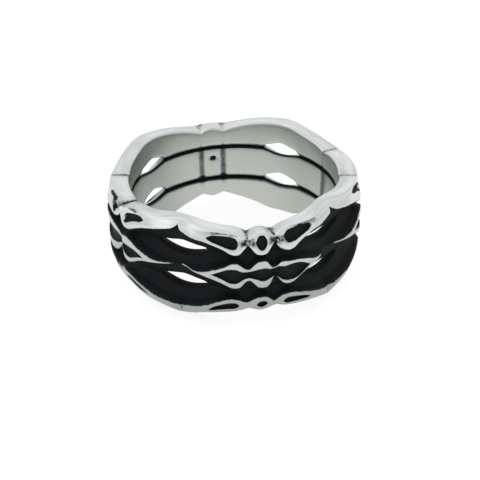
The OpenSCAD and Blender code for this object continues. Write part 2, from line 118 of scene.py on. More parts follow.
# Its cross-section has the same corners all the way round. The tables say how high each edge
# stands as the section walks from a bead over a teardrop to the crest between two motifs.
# Sizes are in millimetres, and heights are counted from mid-height.

# Radii of the finger hole, the relief's face, the outer corners of the top and of the bottom,
# and the channels' floors away from a slot and at one
FINGER_R = 9.40
RELIEF_R = 11.57
CORNER_R = 11.07
LOW_CORNER_R = 11.22
CHANNEL_R = 10.65
SLOT_R = 10.20
# The two grooves in the finger hole, and the seams that cross it
GROOVE_DEEP = 0.30
GROOVE_HALF = 0.17
GROOVE_Z = 1.73
SEAM_DEEP = 0.06
# What is rounded or cut off the edges, and how far the rest face reaches from the hole
EDGE_ROUND = 0.11
TOP_ROUND = 0.19
CORNER_CUT = 0.13
REST_WIDE = 0.36
# How deep a pit and the valleys are, how far the bands and the ridge fall back at a crest, and
# how far the ridge stands proud elsewhere
PIT_DEEP = 0.34
VALLEY_DIP = 0.38
BAND_DROP = 0.28
RIDGE_DROP = 1.05
RIDGE_PROUD = 0.05
# How far the outer corners of the top and of the bottom swell at a crest, and the least height
# of the upper and the lower band there
CORNER_SWELL = 0.15
LOW_CORNER_SWELL = 0.05
UPPER_BAND_LEAST = 0.04
LOWER_BAND_LEAST = 0.08
# Where the top's outer edge and corner stand when it leans outwards, and the notch in it
LEAN_IN_R = 9.98
LEAN_OUT_R = 10.42
NOTCH_DEEP = 0.50
# How far a wide bead stands out, how much its front shoulder is lifted, and the groove round it
SIDE_BULGE = 0.15
FLANK_LIFT = 0.28
FLANK_CUT = 0.08
# The least height of a slot's outer opening
SLOT_LEAST = 0.12
# Width of the bevels on the grooves and pits, the plain edges, the rows and the hole's top edge,
# and the largest share of a side that a bevel takes
FINE_BEVEL = 0.03
BEVEL = 0.05
ROW_BEVEL = 0.06
TOP_BEVEL = 0.08
BEVEL_SHARE = 0.4
# How deep the satin of the finger hole reaches into the wall
SATIN_DEEP = 0.08

# Middle and half width of each bead in degrees from the front, and the relief on both sides
MOTIFS = [
    dict(bead=11.15, half=5.65, before="front left", after="front right"),
    dict(bead=100.85, half=14.65, before="side", after="side"),
    dict(bead=193, half=6.5, before="back", after="back"),
    dict(bead=283.75, half=14.55, before="side", after="side"),
]
# The crest after each motif: its angle, and as a share how far its top leans outwards, how black
# the walls of its slots are, whether the wide bead by it has a groove round its boss (flank), and
# how black the seam across the top is beside that bead. In millimetres, how far the slots' inner
# sills are raised and their upper edges lowered (lid), how far the outer sills of the upper and
# lower slot are raised on the back's side, and how far the outer top edge of the side motif by
# it and the pit in that motif are lifted.
PLAIN_CREST = dict(
    lean=0, soot=0, flank=0, seam=1, sill=0, lid=0, back_sills=(0, 0), lift=0, pit_lift=0
)
CRESTS = [
    dict(PLAIN_CREST, angle=46.5, lean=1, soot=1, seam=0.78, sill=0.03, lid=0.30, lift=0.42,
         pit_lift=0.24),
    dict(PLAIN_CREST, angle=150, seam=0.75),
    dict(PLAIN_CREST, angle=236, seam=0.9, back_sills=(0.10, 0)),
    dict(PLAIN_CREST, angle=335, lean=1, soot=1, flank=1, seam=1.35, lift=0.28),
]
# Step of the section: -1 in the middle of a bead, 0 in the valley beside it, 1 at a crest.
# Then the lower edge of the upper band, both edges of the ridge, upper edge of the lower band.
EDGES = {
    "front left": [
        (-1, 2.10, 1.60, -1.08, -1.98),
        (-0.80, 2.12, 1.57, -1.05, -2.00),
        (-0.55, 2.20, 1.44, -0.88, -2.06),
        (-0.42, 2.32, 1.27, -0.72, -2.14),
        (-0.24, 2.63, 0.95, -0.50, -2.34),
        (-0.09, 2.80, 0.68, -0.46, -2.54),
        (0, 2.86, 0.64, -0.47, -2.64),
        (0.03, 2.76, 0.70, -0.50, -2.63),
        (0.07, 2.50, 0.92, -0.70, -2.52),
        (0.11, 2.26, 1.24, -0.92, -2.29),
        (0.17, 2.19, 1.53, -0.99, -2.11),
        (0.24, 2.32, 1.49, -0.90, -2.03),
        (0.31, 2.64, 1.22, -0.65, -2.09),
        (0.375, 2.88, 1.04, -0.42, -2.24),
        (0.44, 3.06, 0.90, -0.24, -2.40),
        (0.52, 3.25, 0.75, -0.02, -2.60),
        (0.62, 3.45, 0.55, 0.14, -2.84),
        (0.72, 3.53, 0.36, 0.24, -3.03),
        (0.80, 3.63, 0.32, 0.25, -3.12),
        (0.86, 3.86, 0.31, 0.25, -3.18),
        (0.93, 4.00, 0.31, 0.24, -3.27),
        (0.972, 4.15, 0.30, 0.24, -3.40),
        (1, 4.50, 0.29, 0.25, -3.76),
    ],
    "front right": [
        (-1, 2.10, 1.60, -1.08, -1.98),
        (-0.78, 2.13, 1.55, -1.06, -2.00),
        (-0.60, 2.26, 1.36, -1.00, -2.08),
        (-0.46, 2.42, 1.08, -0.88, -2.22),
        (-0.30, 2.71, 0.80, -0.66, -2.46),
        (-0.11, 2.91, 0.62, -0.29, -2.74),
        (0, 2.94, 0.58, -0.26, -2.84),
        (0.04, 2.56, 0.70, -0.40, -2.62),
        (0.08, 2.30, 1.11, -0.80, -2.38),
        (0.13, 2.18, 1.20, -1.04, -2.16),
        (0.20, 2.11, 1.13, -1.12, -2.08),
        (0.27, 2.23, 1.10, -1.02, -2.12),
        (0.32, 2.49, 1.07, -0.80, -2.20),
        (0.365, 2.74, 1.03, -0.58, -2.32),
        (0.43, 2.96, 0.95, -0.34, -2.44),
        (0.52, 3.22, 0.79, -0.12, -2.60),
        (0.60, 3.38, 0.60, 0.04, -2.76),
        (0.69, 3.47, 0.42, 0.16, -2.92),
        (0.79, 3.67, 0.34, 0.22, -3.10),
        (0.86, 3.90, 0.32, 0.24, -3.20),
        (0.93, 4.02, 0.31, 0.24, -3.30),
        (0.972, 4.16, 0.30, 0.24, -3.43),
        (1, 4.50, 0.29, 0.25, -3.76),
    ],
    "side": [
        (-1, 2.62, 1.74, -1.56, -2.12),
        (-0.75, 2.60, 1.71, -1.54, -2.14),
        (-0.62, 2.48, 1.65, -1.51, -2.17),
        (-0.45, 2.30, 1.54, -1.44, -2.22),
        (-0.25, 2.22, 1.29, -1.26, -2.30),
        (-0.10, 2.40, 0.90, -0.86, -2.40),
        (0, 2.86, 0.72, -0.30, -2.50),
        (0.05, 2.72, 0.76, -0.34, -2.42),
        (0.10, 2.50, 0.98, -0.62, -2.37),
        (0.16, 2.30, 1.40, -1.04, -2.36),
        (0.24, 2.20, 1.46, -1.10, -2.40),
        (0.32, 2.40, 1.31, -0.84, -2.54),
        (0.42, 2.82, 1.02, -0.40, -2.70),
        (0.52, 3.14, 0.83, -0.04, -2.86),
        (0.65, 3.47, 0.51, 0.14, -3.10),
        (0.75, 3.64, 0.36, 0.23, -3.20),
        (0.85, 3.86, 0.31, 0.25, -3.30),
        (0.94, 4.02, 0.30, 0.25, -3.42),
        (0.975, 4.16, 0.30, 0.24, -3.50),
        (1, 4.50, 0.29, 0.25, -3.74),
    ],
}
EDGES["back"] = EDGES["front left"]
# Step, inner and outer edge of the top face, outer and inner edge of the bottom face
RIMS = {
    "front left": [
        (-1, 3.78, 3.90, -3.62, -3.80),
        (-0.65, 3.74, 3.84, -3.56, -3.75),
        (-0.30, 3.60, 3.60, -3.42, -3.62),
        (0, 3.44, 3.42, -3.32, -3.50),
        (0.05, 3.60, 3.58, -3.38, -3.57),
        (0.10, 3.74, 3.74, -3.48, -3.68),
        (0.23, 3.94, 4.02, -3.61, -3.92),
        (0.42, 4.06, 4.16, -3.72, -4.32),
        (0.60, 4.24, 4.26, -3.84, -4.68),
        (0.75, 4.44, 4.38, -3.99, -4.98),
        (0.85, 4.56, 4.42, -4.09, -5.15),
        (1, 4.65, 4.54, -4.19, -5.15),
    ],
    "front right": [
        (-1, 3.78, 3.90, -3.62, -3.80),
        (-0.65, 3.74, 3.84, -3.56, -3.75),
        (-0.30, 3.60, 3.58, -3.44, -3.62),
        (0, 3.46, 3.40, -3.34, -3.50),
        (0.05, 3.48, 3.50, -3.34, -3.55),
        (0.10, 3.57, 3.78, -3.48, -3.65),
        (0.23, 3.80, 4.08, -3.66, -3.92),
        (0.42, 3.93, 4.16, -3.80, -4.32),
        (0.60, 4.06, 4.14, -3.94, -4.68),
        (0.75, 4.24, 4.20, -4.06, -4.98),
        (0.85, 4.38, 4.27, -4.16, -5.15),
        (1, 4.59, 4.50, -4.30, -5.15),
    ],
    "side": [
        (-1, 3.86, 3.74, -3.68, -3.83),
        (-0.30, 3.78, 3.66, -3.56, -3.68),
        (0, 3.58, 3.58, -3.44, -3.53),
        (0.05, 3.70, 3.63, -3.50, -3.58),
        (0.10, 3.78, 3.68, -3.57, -3.68),
        (0.23, 3.95, 3.79, -3.78, -3.98),
        (0.42, 4.10, 3.97, -4.00, -4.42),
        (0.60, 4.30, 4.15, -4.08, -4.82),
        (0.75, 4.52, 4.38, -4.12, -5.10),
        (0.85, 4.63, 4.50, -4.16, -5.15),
        (1, 4.65, 4.54, -4.20, -5.15),
    ],
    "back": [
        (-1, 3.92, 3.84, -3.68, -3.84),
        (-0.30, 3.76, 3.80, -3.50, -3.62),
        (0, 3.55, 3.74, -3.34, -3.50),
        (0.05, 3.66, 3.76, -3.42, -3.58),
        (0.10, 3.76, 3.80, -3.53, -3.70),
        (0.23, 4.00, 3.93, -3.66, -3.98),
        (0.42, 4.27, 4.18, -3.80, -4.34),
        (0.60, 4.46, 4.38, -3.94, -4.70),
        (0.75, 4.57, 4.48, -4.06, -5.02),
        (0.85, 4.64, 4.54, -4.16, -5.15),
        (1, 4.68, 4.57, -4.28, -5.15),
    ],
}
# Step, then the middle height and half width of the pit in the upper band, ridge and lower band
PITS = {
    "front left": [
        (-1, 3.13, 0.60, 0.24, 0.58, -2.86, 0.32),
        (-0.86, 3.13, 0.57, 0.24, 0.55, -2.87, 0.30),
        (-0.76, 3.13, 0.48, 0.26, 0.52, -2.88, 0.24),
        (-0.69, 3.13, 0.37, 0.27, 0.49, -2.89, 0.17),
        (-0.63, 3.13, 0.23, 0.29, 0.47, -2.90, 0.10),
        (-0.58, 3.13, 0, 0.30, 0.45, -2.92, 0),
        (-0.22, 3.12, 0, 0.20, 0.32, -3.00, 0),
        (0, 3.12, 0, 0.11, 0.29, -3.00, 0),
        (0.06, 3.12, 0, 0.14, 0.32, -3.00, 0),
        (0.135, 3.14, 0, 0.20, 0.53, -2.86, 0),
        (0.15, 3.14, 0.36, 0.21, 0.60, -2.86, 0.18),
        (0.17, 3.15, 0.44, 0.22, 0.66, -2.85, 0.28),
        (0.25, 3.26, 0.48, 0.26, 0.67, -2.86, 0.34),
        (0.32, 3.39, 0.42, 0.35, 0.50, -2.91, 0.31),
        (0.43, 3.57, 0.29, 0.40, 0.18, -3.04, 0.25),
        (0.52, 3.67, 0.20, 0.38, 0, -3.26, 0.19),
        (0.56, 3.70, 0, 0.36, 0, -3.36, 0),
        (1, 4.20, 0, 0.27, 0, -3.80, 0),
    ],
    "front right": [
        (-1, 3.13, 0.60, 0.24, 0.58, -2.86, 0.32),
        (-0.86, 3.13, 0.57, 0.24, 0.58, -2.86, 0.30),
        (-0.76, 3.13, 0.48, 0.24, 0.57, -2.85, 0.24),
        (-0.69, 3.13, 0.37, 0.24, 0.54, -2.84, 0.17),
        (-0.63, 3.13, 0.23, 0.23, 0.51, -2.84, 0.10),
        (-0.58, 3.13, 0, 0.22, 0.48, -2.86, 0),
        (-0.30, 3.12, 0, 0.20, 0.40, -3.00, 0),
        (0, 3.12, 0, 0.12, 0.34, -3.00, 0),
        (0.05, 3.12, 0, 0.08, 0.53, -3.05, 0),
        (0.14, 3.36, 0, -0.02, 0.68, -2.98, 0),
        (0.155, 3.36, 0.36, -0.01, 0.70, -2.98, 0.22),
        (0.18, 3.37, 0.50, 0.01, 0.72, -2.98, 0.31),
        (0.22, 3.40, 0.55, 0.03, 0.75, -2.98, 0.32),
        (0.29, 3.50, 0.54, 0.05, 0.73, -3.02, 0.30),
        (0.36, 3.62, 0.44, 0.10, 0.62, -3.07, 0.27),
        (0.44, 3.72, 0.33, 0.16, 0.34, -3.14, 0.22),
        (0.53, 3.74, 0.20, 0.22, 0, -3.26, 0.15),
        (0.60, 3.78, 0, 0.24, 0, -3.36, 0),
        (1, 4.20, 0, 0.27, 0, -3.85, 0),
    ],
    "side": [
        (-1, 3.30, 0, 0.08, 0.86, -3.00, 0.26),
        (-0.50, 3.26, 0, 0.12, 0.72, -3.00, 0.18),
        (-0.43, 3.26, 0.56, 0.15, 0.67, -3.00, 0.06),
        (-0.36, 3.27, 0.66, 0.15, 0.64, -3.00, 0),
        (-0.28, 3.32, 0.54, 0.15, 0.60, -3.00, 0),
        (-0.19, 3.38, 0.22, 0.13, 0.55, -3.00, 0),
        (-0.13, 3.40, 0, 0.11, 0.46, -3.00, 0),
        (0, 2.95, 0, 0.12, 0.24, -3.05, 0),
        (0.10, 2.84, 0, 0.03, 0.36, -3.05, 0),
        (0.15, 2.90, 0, 0.03, 0.42, -3.06, 0.10),
        (0.17, 2.97, 0.42, 0.03, 0.46, -3.08, 0.15),
        (0.20, 3.06, 0.44, 0.02, 0.51, -3.11, 0.22),
        (0.25, 3.24, 0.38, 0.02, 0.54, -3.15, 0.24),
        (0.32, 3.46, 0.32, 0.10, 0.49, -3.22, 0.24),
        (0.42, 3.70, 0.26, 0.28, 0.26, -3.34, 0.19),
        (0.49, 3.77, 0.24, 0.28, 0.06, -3.41, 0.12),
        (0.535, 3.80, 0, 0.28, 0, -3.48, 0),
        (1, 4.20, 0, 0.27, 0, -3.85, 0),
    ],
}
PITS["back"] = PITS["front left"]
# How much of the valley, and of the falls of the bands, the ridge and the channels' floors, is
# reached at each step
VALLEY = [(-1, 0), (-0.65, 0.06), (-0.3, 0.4), (0, 1), (0.05, 0.75), (0.1, 0.35), (0.16, 0.05),
          (0.23, 0), (1, 0)]
BAND_FALL = [(0.6, 0), (0.9, 0.6), (1, 1)]
RIDGE_FALL = [(0.55, 0), (0.65, 0.1), (0.79, 0.4), (0.9, 0.82), (1, 1)]
CHANNEL_FALL = [(0, 0), (0.35, 0.35), (0.6, 1), (1, 1)]
# From a crest (0) to a slot's end (1): upper edge of the upper slot, its lower edge outside and
# inside, and the same three of the lower slot. Past its end only the inner groove is left.
SLOT_EDGES = [
    (0, 2.50, 1.00, 1.27, -0.82, -2.38, -2.13),
    (0.25, 2.41, 1.07, 1.30, -0.91, -2.32, -2.10),
    (0.50, 2.26, 1.24, 1.39, -1.06, -2.18, -2.02),
    (0.75, 2.17, 1.46, 1.51, -1.21, -2.01, -1.90),
    (0.92, 2.10, 1.62, 1.59, -1.39, -1.88, -1.84),
    (1, 1.80, 1.70, 1.63, -1.63, -1.78, -1.83),
]
# Share of the raised outer sill from a crest (0) to a slot's end (1)
SILL_RISE = [(0, 0), (0.42, 1), (1, 1)]
# How far the bottom slopes up from the rest face; it is flat at a crest
REST_SLOPE = [(0, 0.16), (0.7, 0.16), (0.86, 0), (1, 0)]
# How the top leans outwards towards a crest, the notch where two motifs meet in it, and the
# seam left in each valley, over the top and in the finger hole
LEAN = [(0.5, 0), (0.62, 0.12), (0.8, 0.58), (0.94, 0.94), (1, 1)]
NOTCH = [(0.93, 0), (0.975, 0.3), (1, 1)]
SEAM = [(-0.20, 0), (-0.07, 0.38), (0, 1), (0.016, 0.85), (0.045, 0.12), (0.075, 0)]
INNER_SEAM = [(-0.45, 0), (-0.22, 0.6), (-0.10, 1), (0.022, 1), (0.055, 0.6), (0.10, 0)]
# The groove over the boss of a wide bead, and a thin one over the pit beside it; how far a wide
# bead stands out, how far the lower band does beside it, and where the teardrop is lifted
FLANK_GROOVE = [(-1, 1), (-0.30, 1), (-0.20, 0.3), (-0.12, 0), (0.20, 0), (0.24, 0.5),
                (0.38, 0.5), (0.42, 0), (1, 0)]
BEAD_BULGE = [(-1, 1), (0, 1), (0.25, 0), (1, 0)]
LOW_SWELL = [(-1, 0.10), (-0.3, 0.12), (0, 0.14), (0.1, 0.10), (0.2, 0), (1, 0)]
LIFT = [(-1, 0), (-0.65, 0.8), (-0.3, 1), (0, 0), (0.1, 0.5), (0.25, 1), (0.5, 1), (0.8, 0),
        (1, 0)]
# How dark the seams are in the finger hole and over the top, and how much of that is left at the
# back, over the top and at its inner edge
JOINT_DARK = 0.47
TOP_SEAM_DARK = 0.6
BACK_TOP_SEAM = 0.6
BACK_INNER_SEAM = 0.35
# A casting pock in the finger hole, between the two seams at the back
POCK = dict(angle=192.6, half_angle=2.7, low=0.44, high=0.70, edge=0.08, deep=0.16)


def follow(rows, s, column=1):
    """Value of a column at step s, on a smooth curve through the rows with no overshoot."""
    steps = [row[0] for row in rows]
    values = [row[column] for row in rows]
    if s <= steps[0]:
        return values[0]
    if s >= steps[-1]:
        return values[-1]

    def slope(k):
        if k == 0 or k == len(steps) - 1:
            return 0
        before = (values[k] - values[k - 1]) / (steps[k] - steps[k - 1])
        after = (values[k + 1] - values[k]) / (steps[k + 1] - steps[k])
        return 2 * before * after / (before + after) if before * after > 0 else 0

    k = bisect.bisect_right(steps, s) - 1
    gap = steps[k + 1] - steps[k]
    t = (s - steps[k]) / gap
    return (
        values[k] * (1 + 2 * t) * (1 - t) ** 2
        + slope(k) * gap * t * (1 - t) ** 2
        + values[k + 1] * t * t * (3 - 2 * t)
        + slope(k + 1) * gap * t * t * (t - 1)
    )


def along(a, b, f):
    return a + (b - a) * f


# Step at which a slot ends, and at which the ridge's thin tail sinks into the black
SLOT_END = {"front left": 0.58, "front right": 0.58, "side": 0.64, "back": 0.70}
TAIL_END = {"front left": 0.98, "front right": 0.79, "side": 0.875, "back": 0.95}
TAIL_FADE = 0.03
# Steps of the sections over a bead, over a teardrop as shares of the way to the slot's end, and
# from there to the crest as shares of the slot. They stand close where the relief turns.
STEPS = {
    "front left": (
        [-1, -0.92, -0.84, -0.76, -0.69, -0.63, -0.575, -0.36, -0.18, -0.07],
        [0, 0.028, 0.078, 0.13, 0.18, 0.23, 0.285, 0.345, 0.41, 0.475, 0.54, 0.61, 0.68, 0.76,
         0.85, 0.93],
    ),
    "side": (
        [-1, -0.80, -0.62, -0.49, -0.41, -0.31, -0.20, -0.07],
        [0, 0.025, 0.07, 0.12, 0.175, 0.23, 0.29, 0.355, 0.425, 0.50, 0.58, 0.66, 0.75, 0.84,
         0.93],
    ),
    "back": (
        [-1, -0.80, -0.66, -0.56, -0.36, -0.18, -0.07],
        [0, 0.025, 0.065, 0.12, 0.185, 0.25, 0.32, 0.40, 0.49, 0.59, 0.70, 0.81, 0.92],
    ),
}
STEPS["front right"] = STEPS["front left"]
LENS_STEPS = [1, 0.95, 0.85, 0.72, 0.58, 0.43, 0.29, 0.16, 0.06, 0]


def half_motif(kind):
    """Steps of the sections from the middle of a bead to the crest."""
    end = SLOT_END[kind]
    bead_steps, drop_steps = STEPS[kind]
    return bead_steps + [end * f for f in drop_steps] + [1 - u * (1 - end) for u in LENS_STEPS]


# Each section's angle, step, kind and crest
sections = []
for number, motif in enumerate(MOTIFS):
    bead, half = motif["bead"], motif["half"]
    last, crest = CRESTS[number - 1], CRESTS[number]
    last_angle = last["angle"] - (360 if number == 0 else 0)
    for s in half_motif(motif["before"])[::-1]:
        far = last_angle if s > 0 else bead
        sections.append((along(bead - half, far, abs(s)), s, motif["before"], last))
    for s in half_motif(motif["after"])[1:-1]:
        far = crest["angle"] if s > 0 else bead
        sections.append((along(bead + half, far, abs(s)), s, motif["after"], crest))


def pit(up, up_r, low, low_r, middle, wanted, face=0, over=0):
    """The four corners of a pit in a row's face; it closes up where there is no room."""
    rim, closed, full, faint, most_slope = 0.07, 0.012, 0.14, 0.06, 0.07
    room = max(0, min(wanted, (up - low) / 2 - rim))
    half = max(room, closed)
    if up - low < 2 * (half + rim):
        middle = (up + low) / 2
    else:
        middle = min(max(middle, low + half + rim), up - half - rim)
    sink = PIT_DEEP * min(1, room / full)
    dark = max(face, min(1, room / faint))
    slope = min(most_slope, half * 0.3)
    corners = []
    for rise, drop, dark_above, dark_below in (
        (half, 0, max(face, over), dark),
        (half - slope, sink, dark, dark),
        (slope - half, sink, dark, dark),
        (-half, 0, dark, face),
    ):
        z = middle + rise
        r = along(up_r, low_r, (up - z) / max(up - low, closed)) - drop
        corners.append((r, z, FINE_BEVEL, dark_above, dark_below))
    return corners


def wall_foot(edge_r, edge_z, floor_r, floor_z):
    """The corner where the steep part of a channel's wall ends, just above the floor."""
    r = max(floor_r + 0.06, along(floor_r, edge_r, 0.35))
    return (r, along(edge_z, floor_z, 0.3), ROW_BEVEL, 1, 1)


def section(angle, s, kind, crest):
    """Corners of a section: radius, height, bevel, and the tarnish and painted shade on both sides
    of the corner. Up the finger hole, over the top face, down the outside over the three rows,
    under the ring."""
    a_low, b_up, b_low, c_up = (follow(EDGES[kind], s, k) for k in range(1, 5))
    top_in, top_out, bottom_out, bottom_in = (follow(RIMS[kind], s, k) for k in range(1, 5))
    a_mid, a_half, b_mid, b_half, c_mid, c_half = (follow(PITS[kind], s, k) for k in range(1, 7))
    dip = VALLEY_DIP * follow(VALLEY, s)
    lean, notch = crest["lean"] * follow(LEAN, s), crest["lean"] * follow(NOTCH, s)
    seam = follow(SEAM, s)
    band_r = RELIEF_R - dip - BAND_DROP * follow(BAND_FALL, s) - NOTCH_DEEP * notch
    ridge_r = RELIEF_R + RIDGE_PROUD - dip - RIDGE_DROP * follow(RIDGE_FALL, s)
    bulge, swell, flank = 0, 0, 0
    if kind == "side":
        bulge, swell = SIDE_BULGE * follow(BEAD_BULGE, s), follow(LOW_SWELL, s)
        flank = crest["flank"] * follow(FLANK_GROOVE, s)
        top_out += (crest["lift"] if s > 0 else FLANK_LIFT * crest["flank"]) * follow(LIFT, s)
        a_mid += crest["pit_lift"] * follow(LIFT, s)
    corner_r = CORNER_R + bulge + CORNER_SWELL * follow(BAND_FALL, s)
    low_corner_r = LOW_CORNER_R + swell + LOW_CORNER_SWELL * follow(BAND_FALL, s)
    cut = CORNER_CUT + FLANK_CUT * flank
    top_r = along(corner_r - cut, LEAN_IN_R, lean)
    corner_r = along(corner_r, LEAN_OUT_R, lean)
    floor_r = along(CHANNEL_R, SLOT_R, follow(CHANNEL_FALL, s)) - dip * 0.3
    groove_r = FINGER_R + GROOVE_DEEP
    tail = min(1, max(0, (s - TAIL_END[kind]) / TAIL_FADE))
    a_low = min(a_low, top_out - CORNER_CUT - UPPER_BAND_LEAST)
    c_up = max(c_up, bottom_out + CORNER_CUT + LOWER_BAND_LEAST)
    # The slots' edges. Where there is no slot, the groove in the finger hole is left
    u = min(1, (1 - s) / (1 - SLOT_END[kind]))
    up_1, up_out, up_0, low_1, low_out, low_0 = (follow(SLOT_EDGES, u, k) for k in range(1, 7))
    up_1 -= crest["lid"] * (1 - u)
    low_1 -= crest["lid"] * (1 - u)
    up_lip, low_lip, lip = up_1, low_1, crest["soot"]
    if u == 1:
        up_1, low_1, lip = GROOVE_Z + GROOVE_HALF * 0.6, -GROOVE_Z + GROOVE_HALF * 0.6, 1
    up_0 += crest["sill"] * (1 - u)
    low_0 += crest["sill"] * (1 - u)
    if kind == "back":
        rise = follow(SILL_RISE, u)
        up_out = min(up_out + crest["back_sills"][0] * rise, up_lip - SLOT_LEAST)
        low_out = min(low_out + crest["back_sills"][1] * rise, low_lip - SLOT_LEAST)
    side = GROOVE_HALF * 0.4
    # The pock, and the tarnish in it and in the seams
    pock = max(0, 1 - abs(angle - POCK["angle"]) / POCK["half_angle"]) ** 0.5
    joint = JOINT_DARK * follow(INNER_SEAM, s)
    pocked = max(2 * pock - 0.74, joint)
    pock_edge = max(joint, 0.75 * pocked)
    # Painted shade on the top's rounded inner edge: at the front it is darkened wider than the
    # seam beside each valley, for the shade of the V valley; elsewhere it follows the seam,
    # faintly at the back.
    seam_and_painted_shade = follow(INNER_SEAM, s) if kind in ("front left", "front right") else seam
    seam_and_painted_shade *= TOP_SEAM_DARK * {"back": BACK_INNER_SEAM, "side": crest["seam"]}.get(kind, 1)
    top_seam = TOP_SEAM_DARK * seam * {"back": BACK_TOP_SEAM, "side": crest["seam"]}.get(kind, 1)
    joined = flank if s < 0 and a_half > 0.2 else 0
    seam_r = FINGER_R + SEAM_DEEP * follow(INNER_SEAM, s)
    corners = [
        (FINGER_R, bottom_in + EDGE_ROUND, BEVEL, 0, 0),
        (FINGER_R, low_0 - side, FINE_BEVEL, 0.7 * joint, 1),
        (groove_r, low_0, FINE_BEVEL, 1, lip),
        (groove_r, low_1, FINE_BEVEL, lip, lip),
        (seam_r, low_1 + side, FINE_BEVEL, lip, joint),
        (seam_r, POCK["low"] - POCK["edge"], BEVEL, joint, pock_edge),
        (seam_r + POCK["deep"] * pock, POCK["low"], BEVEL, pocked, pocked),
        (seam_r + POCK["deep"] * pock, POCK["high"], BEVEL, pocked, pocked),
        (seam_r, POCK["high"] + POCK["edge"], BEVEL, pock_edge, joint),
        (seam_r, up_0 - side, FINE_BEVEL, joint, 1),
        (groove_r, up_0, FINE_BEVEL, 1, lip),
        (groove_r, up_1, FINE_BEVEL, lip, lip),
        (FINGER_R, up_1 + side, FINE_BEVEL, lip, 0.5 * TOP_SEAM_DARK * seam),
        (FINGER_R, top_in - TOP_ROUND, TOP_BEVEL, 0.5 * seam_and_painted_shade, seam_and_painted_shade),
        (FINGER_R + TOP_ROUND, top_in, TOP_BEVEL, seam_and_painted_shade, seam_and_painted_shade),
        (top_r, top_out, BEVEL, top_seam, max(0.6 * top_seam, flank)),
        (corner_r, top_out - cut, BEVEL, max(0.6 * top_seam, flank), joined),
    ]
    corners += pit(top_out - cut, corner_r, a_low, band_r, a_mid, a_half, over=joined)
    corners += [
        (band_r, a_low, ROW_BEVEL, 0, 1),
        wall_foot(band_r, a_low, floor_r, up_lip),
        (floor_r, up_lip, BEVEL, lip, lip),
        (floor_r, up_out, BEVEL, lip, lip),
        wall_foot(ridge_r, b_up, floor_r, up_out),
        (ridge_r, b_up, ROW_BEVEL, 1, tail),
    ]
    corners += pit(b_up, ridge_r, b_low, ridge_r, b_mid, b_half, tail)
    corners += [
        (ridge_r, b_low, ROW_BEVEL, tail, 1),
        wall_foot(ridge_r, b_low, floor_r, low_lip),
        (floor_r, low_lip, BEVEL, lip, lip),
        (floor_r, low_out, BEVEL, lip, lip),
        wall_foot(band_r + swell, c_up, floor_r, low_out),
        (band_r + swell, c_up, ROW_BEVEL, 1, 0),
    ]
    corners += pit(c_up, band_r + swell, bottom_out + CORNER_CUT, low_corner_r, c_mid, c_half)
    corners += [
        (low_corner_r, bottom_out + CORNER_CUT, BEVEL, 0, 0),
        (low_corner_r - CORNER_CUT, bottom_out, BEVEL, 0, 0),
        (FINGER_R + REST_WIDE, along(bottom_in, bottom_out, follow(REST_SLOPE, s)), BEVEL, 0, 0),
        (FINGER_R + EDGE_ROUND, bottom_in, BEVEL, 0, 0),
    ]
    return corners


def bevelled(corners):
    """Two points for each corner, set back from it by its bevel, with their tarnish and painted
    shade.
    """
    points = []
    for k, (r, z, bevel, dark_before, dark_after) in enumerate(corners):
        after = corners[(k + 1) % len(corners)]
        for other, dark in ((corners[k - 1], dark_before), (after, dark_after)):
            length = math.hypot(other[0] - r, other[1] - z)
            f = min(bevel / max(length, 1e-6), BEVEL_SHARE)
            points.append((along(r, other[0], f), along(z, other[1], f), dark))
    return points


# Smudges of tarnish, and a dark patch over the lower band's wide bead on the left at -68°: angle,
# height, half width in degrees, half height, how dark, and the radius they start from
STAINS = [
    (5.2, 3.18, 3.8, 0.38, 0.56, 11.0),
    (16.9, 3.16, 3.3, 0.38, 0.58, 11.0),
    (20.0, 2.95, 1.9, 0.55, 0.60, 11.0),
    (16.9, -0.34, 0.7, 0.30, 1.0, 11.0),
    (-7.5, 4.04, 6.2, 0.14, 0.48, 11.0),
    (-0.5, 3.84, 2.8, 0.14, 0.46, 11.0),
    (29.5, 4.02, 5.4, 0.15, 0.56, 11.0),
    (35.5, 3.94, 2.4, 0.16, 0.46, 10.9),
    (-58.5, 3.85, 1.2, 0.16, 0.56, 11.0),
    (-50.0, 4.04, 3.2, 0.09, 0.52, 11.0),
    (-62.5, 3.45, 1.5, 0.30, 0.48, 10.65),
    (-68.0, -2.50, 7.0, 0.50, 1.0, 10.65),
    (185.9, 3.70, 2.0, 0.50, 0.52, 10.65),
    (198.1, 3.70, 2.1, 0.50, 0.52, 10.65),
]


def stain(angle, r, z):
    """How dark the stains make a place."""
    return max(
        depth * (r >= start) * math.exp(
            -((((angle - at + 180) % 360 - 180) / width) ** 4) - ((z - height) / tall) ** 4
        )
        for at, height, width, tall, depth, start in STAINS
    )


profiles = [bevelled(section(*row)) for row in sections]
around, across = len(profiles), len(profiles[0])

bpy.ops.object.select_all(action="DESELECT")
bpy.ops.mesh.primitive_torus_add(
    major_segments=around, minor_segments=across,
    major_radius=10.4 * MM, minor_radius=1 * MM, location=(0, 0, RING_MIDDLE),
)
bpy.ops.object.transform_apply(location=True, rotation=True, scale=True)
ring = bpy.context.object
ring.name = ring.data.name = "silver_ring"
tarnish_and_painted_shade, dull, strand = [], [], []
for (angle, *_), profile, first in zip(sections, profiles, range(0, around * across, across)):
    turn = math.radians(angle - 90)
    # The torus counts its points outside up, the profile inside up
    for k, (r, z, dark) in enumerate(reversed(profile)):
        ring.data.vertices[first + k].co = (
            r * MM * math.cos(turn), r * MM * math.sin(turn), z * MM + RING_MIDDLE
        )
        tarnish_and_painted_shade.append(max(dark, stain(angle, r, z)))
        dull.append(1 if r < FINGER_R + SATIN_DEEP else 0)
        strand.append(k / across)

